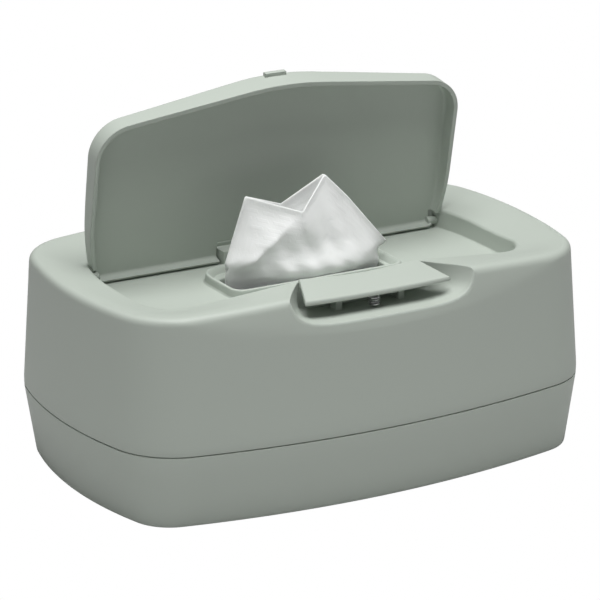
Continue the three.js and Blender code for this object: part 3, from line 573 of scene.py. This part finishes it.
# Paddle of the latch: a thin plate in the same plastic that slopes to the front. Two ears below
# it carry axle stubs, which turn in the pocket's lugs, and a notch clears the lid's catch tab.
PADDLE_REAR_HALF, PADDLE_FRONT_HALF, PADDLE_FRONT_Y = 29.3, 36, -67.6
PADDLE_REAR_Z, PADDLE_SLOPE, PADDLE_GAP, PADDLE_FRONT_ARC = 96.8, 0.25, 1.3, 650
EAR_INNER, EAR_OUTER, EAR_FRONT, EAR_REAR, EAR_LOW, EAR_TOP = 10.5, 13.4, -59.4, -55.0, 87.2, 93.4
AXLE_RADIUS, TAB_CLEARANCE = 1.3, 0.3
# The plate's soft edge as pairs of inset and height from its top.
PADDLE_EDGE = [(1.0, -2.4), (0.4, -2.25), (0.0, -1.7), (0.0, -0.9), (0.15, -0.4), (0.45, -0.1), (1.0, 0.0)]
paddle_rear_y = tip - PADDLE_GAP

half = [(x, float(lid_front(x)) - PADDLE_GAP) for x in np.linspace(0, PADDLE_REAR_HALF, 20)]
for x in np.linspace(PADDLE_FRONT_HALF, 0, 20):
    half.append((x, PADDLE_FRONT_Y + x * x / (2 * PADDLE_FRONT_ARC)))
outline = np.array(half + [(-x, y) for x, y in half[-2:0:-1]])[::-1]
rings = []
for inset, drop in PADDLE_EDGE:
    loop = offset(outline, -inset)
    rings.append(at(loop, PADDLE_REAR_Z - PADDLE_SLOPE * (paddle_rear_y - loop[:, 1]) + drop))
paddle = lofted("paddle", rings)
for side in (-1, 1):
    ear = brick(EAR_INNER * side, EAR_OUTER * side, EAR_FRONT, EAR_REAR, EAR_LOW, EAR_TOP)
    combine(paddle, ear, "UNION")
    combine(paddle, rod((EAR_OUTER - 1) * side, LUG_OUTER * side, AXLE_Y, AXLE_Z, AXLE_RADIUS), "UNION")
notch_front = tip - TAB_REACH - TAB_CLEARANCE
tab_notch = brick(-TAB_NOTCH_HALF, TAB_NOTCH_HALF, notch_front, -40, BELOW_ALL, ABOVE_ALL)
combine(paddle, tab_notch, "DIFFERENCE")
finish_piece(paddle, "latch_button", "latch", plastic)

# Hinge pin and the two wire springs: drawn spring steel, slightly dull, hidden in use.
# They keep the CAD's own bodies; only the finish is given here.
steel = bpy.data.materials.new("spring_steel")
steel.use_nodes = True
bsdf = steel.node_tree.nodes["Principled BSDF"]
bsdf.inputs["Base Color"].default_value = (0.5, 0.5, 0.51, 1)
bsdf.inputs["Metallic"].default_value = 1
bsdf.inputs["Roughness"].default_value = 0.32
for node in ("hinge_pin", "lid_spring", "button_spring"):
    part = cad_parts[node]
    part.data.materials.clear()
    part.data.materials.append(steel)
    part.data.shade_smooth()

# Stack of wipes: folded sheets of soft white non-woven cloth with small embossed dashes,
# laid in the tray. The stack's sides show the layers.
STACK = {"cx": 0, "cy": 0, "half_x": 92, "half_y": 52, "rear": 6, "front": 6}
STACK_LOW, STACK_HEIGHT, STACK_LAYERS = 3.2, 56.8, 28
LAYER_EDGE, LAYER_GROOVE, STACK_ROUND = -0.05, -0.55, -1.1

cloth = bpy.data.materials.new("wipe_cloth")
cloth.use_nodes = True
nt = cloth.node_tree
bsdf = nt.nodes["Principled BSDF"]
bsdf.inputs["Base Color"].default_value = (0.97, 0.985, 0.975, 1)
bsdf.inputs["Roughness"].default_value = 0.85
bsdf.inputs["Subsurface Weight"].default_value = 0.5
bsdf.inputs["Subsurface Radius"].default_value = (0.004, 0.004, 0.004)
bsdf.inputs["Subsurface Scale"].default_value = 0.5
coord = nt.nodes.new("ShaderNodeTexCoord")
dash = nt.nodes.new("ShaderNodeTexBrick")
dash.inputs["Scale"].default_value = 1000
dash.inputs["Brick Width"].default_value = 7.5
dash.inputs["Row Height"].default_value = 4.0
dash.inputs["Mortar Size"].default_value = 1.45
dash.inputs["Mortar Smooth"].default_value = 0.35
fibre = nt.nodes.new("ShaderNodeTexNoise")
fibre.inputs["Scale"].default_value = 1400
mixed = nt.nodes.new("ShaderNodeMath")
mixed.operation = "MULTIPLY_ADD"
mixed.inputs[1].default_value = -1.0
nt.links.new(coord.outputs["UV"], dash.inputs["Vector"])
nt.links.new(coord.outputs["Object"], fibre.inputs["Vector"])
nt.links.new(dash.outputs["Fac"], mixed.inputs[0])
nt.links.new(fibre.outputs["Fac"], mixed.inputs[2])
bump = nt.nodes.new("ShaderNodeBump")
bump.inputs["Strength"].default_value = 0.14
bump.inputs["Distance"].default_value = 0.0004
nt.links.new(mixed.outputs[0], bump.inputs["Height"])
nt.links.new(bump.outputs["Normal"], bsdf.inputs["Normal"])

block = rounded(**STACK)
rings = []
for layer in range(STACK_LAYERS + 1):
    if layer in (0, STACK_LAYERS):
        grow = STACK_ROUND
    else:
        grow = LAYER_EDGE if layer % 2 else LAYER_GROOVE
    rings.append(at(offset(block, grow), STACK_LOW + layer * STACK_HEIGHT / STACK_LAYERS))
finish_piece(lofted("stack", rings), "wipes_stack", "base", cloth, angle=60)

# Wipe: one sheet of the same cloth, drawn up from the stack through the slot and folded round
# on itself into two points. Its front and back halves meet at the left.
SHEET_WIDTH, SHEET_UV_HEIGHT, SHEET_THICKNESS = 0.150, 0.064, 0.0004
FOOT_LEFT, FOOT_RIGHT, FOOT_Z = -36.0, 37.5, 61.0
THROAT_Z, SPREAD_Z, OVER_Z = 78, 88, 85.5
# The upper edge from left to right: share of the width, x, y and z.
FRONT_EDGE = [
    (0, -36.5, 4, 90),
    (0.17, -25.2, 4.5, 119.4),
    (0.53, -2.8, -6, 111.8),
    (0.66, 14.6, 5, 123.9),
    (0.8, 25, 3, 113.0),
    (1, 40.5, -5, 92.0),
]
BACK_EDGE = [
    (0, -36.5, 4, 90),
    (0.17, -25.2, 5.5, 119.4),
    (0.41, -5.9, 8, 112.5),
    (0.66, 14.6, 6, 123.9),
    (0.8, 25, 4, 113.0),
    (1, 40.5, -5, 92.0),
]
# The fold on the front runs up to the right from this point.
FOLD_X, FOLD_Z, FOLD_RUN, FOLD_RISE, FOLD_DEPTH = -36, 86, 48.8, 37.5, 5.5


def wipe_point(u, t):
    """Place of the sheet at u round its width and t up its height."""
    front = u < 0.5
    s = u * 2 if front else 2 - u * 2
    share, top_x, top_y, top_z = zip(*(FRONT_EDGE if front else BACK_EDGE))
    x_top, y_top, z_top = (float(np.interp(s, share, tops)) for tops in (top_x, top_y, top_z))
    z = FOOT_Z + (z_top - FOOT_Z) * t
    up = float(smooth((z - SPREAD_Z) / max(z_top - SPREAD_Z, 1)))
    x_low = FOOT_LEFT + (FOOT_RIGHT - FOOT_LEFT) * s
    x = x_low + (x_top - x_low) * up
    # The slot pinches the sheet, and above it the two halves spread apart.
    throat = math.exp(-(((z - THROAT_Z) / 9) ** 2))
    bulge = abs(math.sin(math.pi * s)) ** 0.7
    spread = (2.5 + 1.5 * (1 - throat)) * bulge
    y_low = -3 + 7 * (1 - s) ** 3 + (-spread if front else spread)
    # Just above the slot's edge the sheet leans out over the ledge.
    over = math.exp(-(((z - OVER_Z) / 6.0) ** 2)) * bulge
    y = y_low + (y_top - y_low) * up - over * 6.0 * (1.0 if front else 0.5)
    if front:
        # The long fold, deepest along its line.
        away = (x - FOLD_X) * FOLD_RISE - (z - FOLD_Z) * FOLD_RUN
        away = abs(away) / math.hypot(FOLD_RISE, FOLD_RUN)
        y -= FOLD_DEPTH * math.exp(-away / 9.0) * smooth((z - 84) / 10) * (1 - up**3)
    # Small creases, which fade towards the upper edge.
    y += 0.7 * math.sin(x * 0.55 + z * 0.21) * smooth((z - 80) / 8) * (1 - up) * bulge
    x += 0.35 * math.sin(z * 0.8 + u * 9) * (1 - up)
    return Vector((x, y, z)) / 1000


bm = bmesh.new()
uv_layer = bm.loops.layers.uv.new("UVMap")
bmesh.ops.create_grid(bm, x_segments=180, y_segments=69, size=0.5)
for face in bm.faces:
    for loop in face.loops:
        u, t = loop.vert.co.x + 0.5, loop.vert.co.y + 0.5
        loop[uv_layer].uv = (u * SHEET_WIDTH, t * SHEET_UV_HEIGHT)
for v in bm.verts:
    v.co = wipe_point(v.co.x + 0.5, v.co.y + 0.5)
mesh = bpy.data.meshes.new("wipe_sheet")
bm.to_mesh(mesh)
bm.free()
wipe = bpy.data.objects.new("wipe_sheet", mesh)
bpy.context.scene.collection.objects.link(wipe)
mesh.shade_smooth()
mesh.materials.append(cloth)
thick = wipe.modifiers.new("thickness", "SOLIDIFY")
thick.thickness = SHEET_THICKNESS
thick.offset = 0
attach(wipe, "cover")
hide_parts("wipe")
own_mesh(wipe)

# Floor and light: a pale sweep, one large soft box above and a weak fill from the front left.
# The camera sees floor and backdrop as plain white.
LIGHTS = (
    ("key", (-0.05, -0.2, 1.5), 1.0, 27),
    ("fill", (-1.3, -0.9, 0.9), 1.0, 1.2),
)
LIGHT_AIM = Vector((0, 0, 0.06))


def white_to_camera(tree, shader, bright, output):
    """Shows the camera a plain white shader and everything else the real one."""
    path = tree.nodes.new("ShaderNodeLightPath")
    blend = tree.nodes.new("ShaderNodeMixShader")
    tree.links.new(path.outputs["Is Camera Ray"], blend.inputs["Fac"])
    tree.links.new(shader, blend.inputs[1])
    tree.links.new(bright.outputs[0], blend.inputs[2])
    tree.links.new(blend.outputs["Shader"], tree.nodes[output].inputs["Surface"])


bpy.ops.mesh.primitive_plane_add(size=8, location=(0, 0, 0))
floor = bpy.context.object
floor.name = "floor"
white = bpy.data.materials.new("floor_white")
white.use_nodes = True
nt = white.node_tree
bsdf = nt.nodes["Principled BSDF"]
bsdf.inputs["Base Color"].default_value = (0.62, 0.62, 0.62, 1)
bsdf.inputs["Roughness"].default_value = 0.9
glow = nt.nodes.new("ShaderNodeEmission")
glow.inputs["Strength"].default_value = 1.0
white_to_camera(nt, bsdf.outputs["BSDF"], glow, "Material Output")
floor.data.materials.append(white)
floor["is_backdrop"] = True

world = bpy.data.worlds.new("studio")
bpy.context.scene.world = world
world.use_nodes = True
nt = world.node_tree
sky = nt.nodes["Background"]
sky.inputs["Color"].default_value = (1, 1, 1, 1)
sky.inputs["Strength"].default_value = 0.12
backdrop = nt.nodes.new("ShaderNodeBackground")
backdrop.inputs["Strength"].default_value = 1.0
backdrop.inputs["Color"].default_value = (1, 1, 1, 1)
white_to_camera(nt, sky.outputs["Background"], backdrop, "World Output")

for name, place, size, power in LIGHTS:
    data = bpy.data.lights.new(name, "AREA")
    data.size = size
    data.energy = power
    lamp = bpy.data.objects.new(name, data)
    bpy.context.scene.collection.objects.link(lamp)
    lamp.location = place
    lamp.rotation_euler = (LIGHT_AIM - lamp.location).to_track_quat("-Z", "Y").to_euler()
    lamp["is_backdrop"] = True

# Camera: a long lens that looks down at the box from the front left. Its small sideways shift
# and upward turn bring the box to where the photograph has it in the frame.
AZIMUTH, ELEVATION = math.radians(29.59), math.radians(19.12)
DISTANCE, TARGET = 1.58245, Vector((0, 0, 0.045))
IMAGE_PX, FOCAL_PX, SHIFT_X_PX, RAISE_PX = 600, 3547.54, -1.48, 51.07


def looking(elevation):
    """Direction of view at the camera's azimuth."""
    level = math.cos(elevation)
    return Vector((math.sin(AZIMUTH) * level, math.cos(AZIMUTH) * level, -math.sin(elevation)))


camera = bpy.data.objects.new("camera", bpy.data.cameras.new("camera"))
bpy.context.scene.collection.objects.link(camera)
camera.location = TARGET - looking(ELEVATION) * DISTANCE
camera.data.sensor_width = 36
camera.data.lens = FOCAL_PX / IMAGE_PX * camera.data.sensor_width
camera.data.shift_x = SHIFT_X_PX / IMAGE_PX
camera.data.clip_end = 20
aim = looking(ELEVATION - math.atan(RAISE_PX / FOCAL_PX))
camera.rotation_euler = aim.to_track_quat("-Z", "Y").to_euler()
bpy.context.scene.camera = camera
bpy.context.scene.view_settings.view_transform = "Standard"

low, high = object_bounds()
